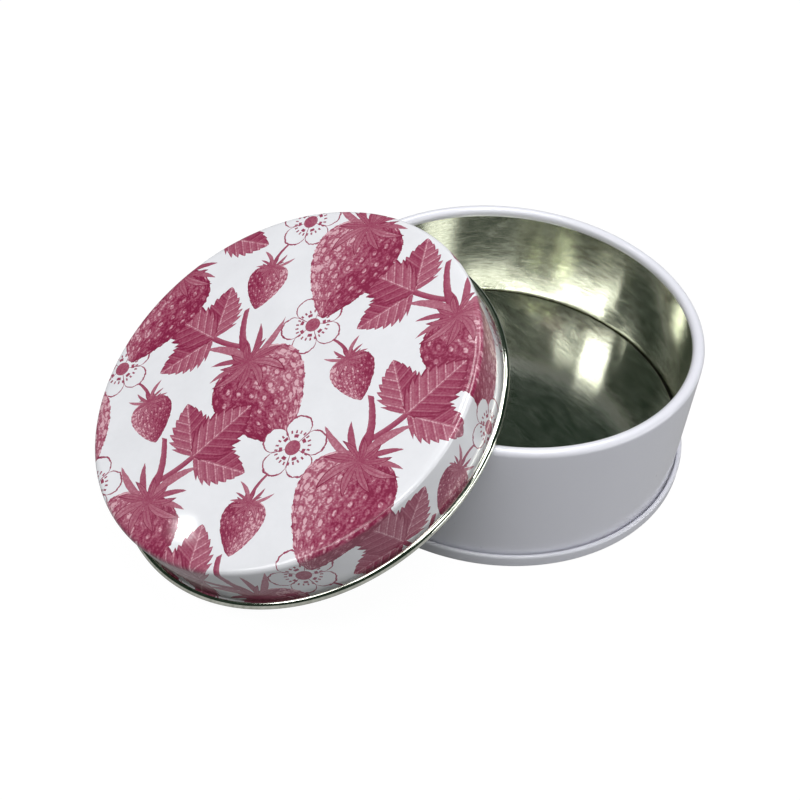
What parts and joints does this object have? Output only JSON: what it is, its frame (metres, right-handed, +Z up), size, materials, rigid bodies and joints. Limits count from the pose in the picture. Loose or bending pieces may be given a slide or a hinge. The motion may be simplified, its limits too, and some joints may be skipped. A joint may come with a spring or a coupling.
{
  "type": "round tin with lift-off lid",
  "caption": "Round slip-lid tin of rolled sheet with a curled rim and a seamed bottom, standing open, and its drawn, printed lid with a curled edge leaning on the rim.",
  "frame": {"origin": "centre of the footprint's box, tin and leaning lid together, on the table", "axes": "+Z up, the tin's own axis; +X to the right, from the leaning lid towards the tin, along the longest side of the footprint; +Y away from the front"},
  "size_m": [0.1228, 0.105, 0.049],
  "materials": {
    "white_lacquer": "white lacquer outside and over the rim, bare tinplate with a fine rolling grain inside",
    "bottom_lacquer": "white lacquer on the seam and underneath, bare tinplate with a fine rolling grain inside",
    "printed_lid": "glossy print in raspberry tones on white outside, bare tinplate on the curled edge and inside"
  },
  "bodies": {
    "tin": {"body_shell": "white_lacquer", "bottom_end": "bottom_lacquer"},
    "lid": {"lid": "printed_lid"}
  },
  "joints": [
    {"name": "lid_lift", "type": "slide", "parent": "tin", "child": "lid", "axis": [-0.4058, -0.2203, 0.887], "range_m": [0, 0.08]}
  ]
}
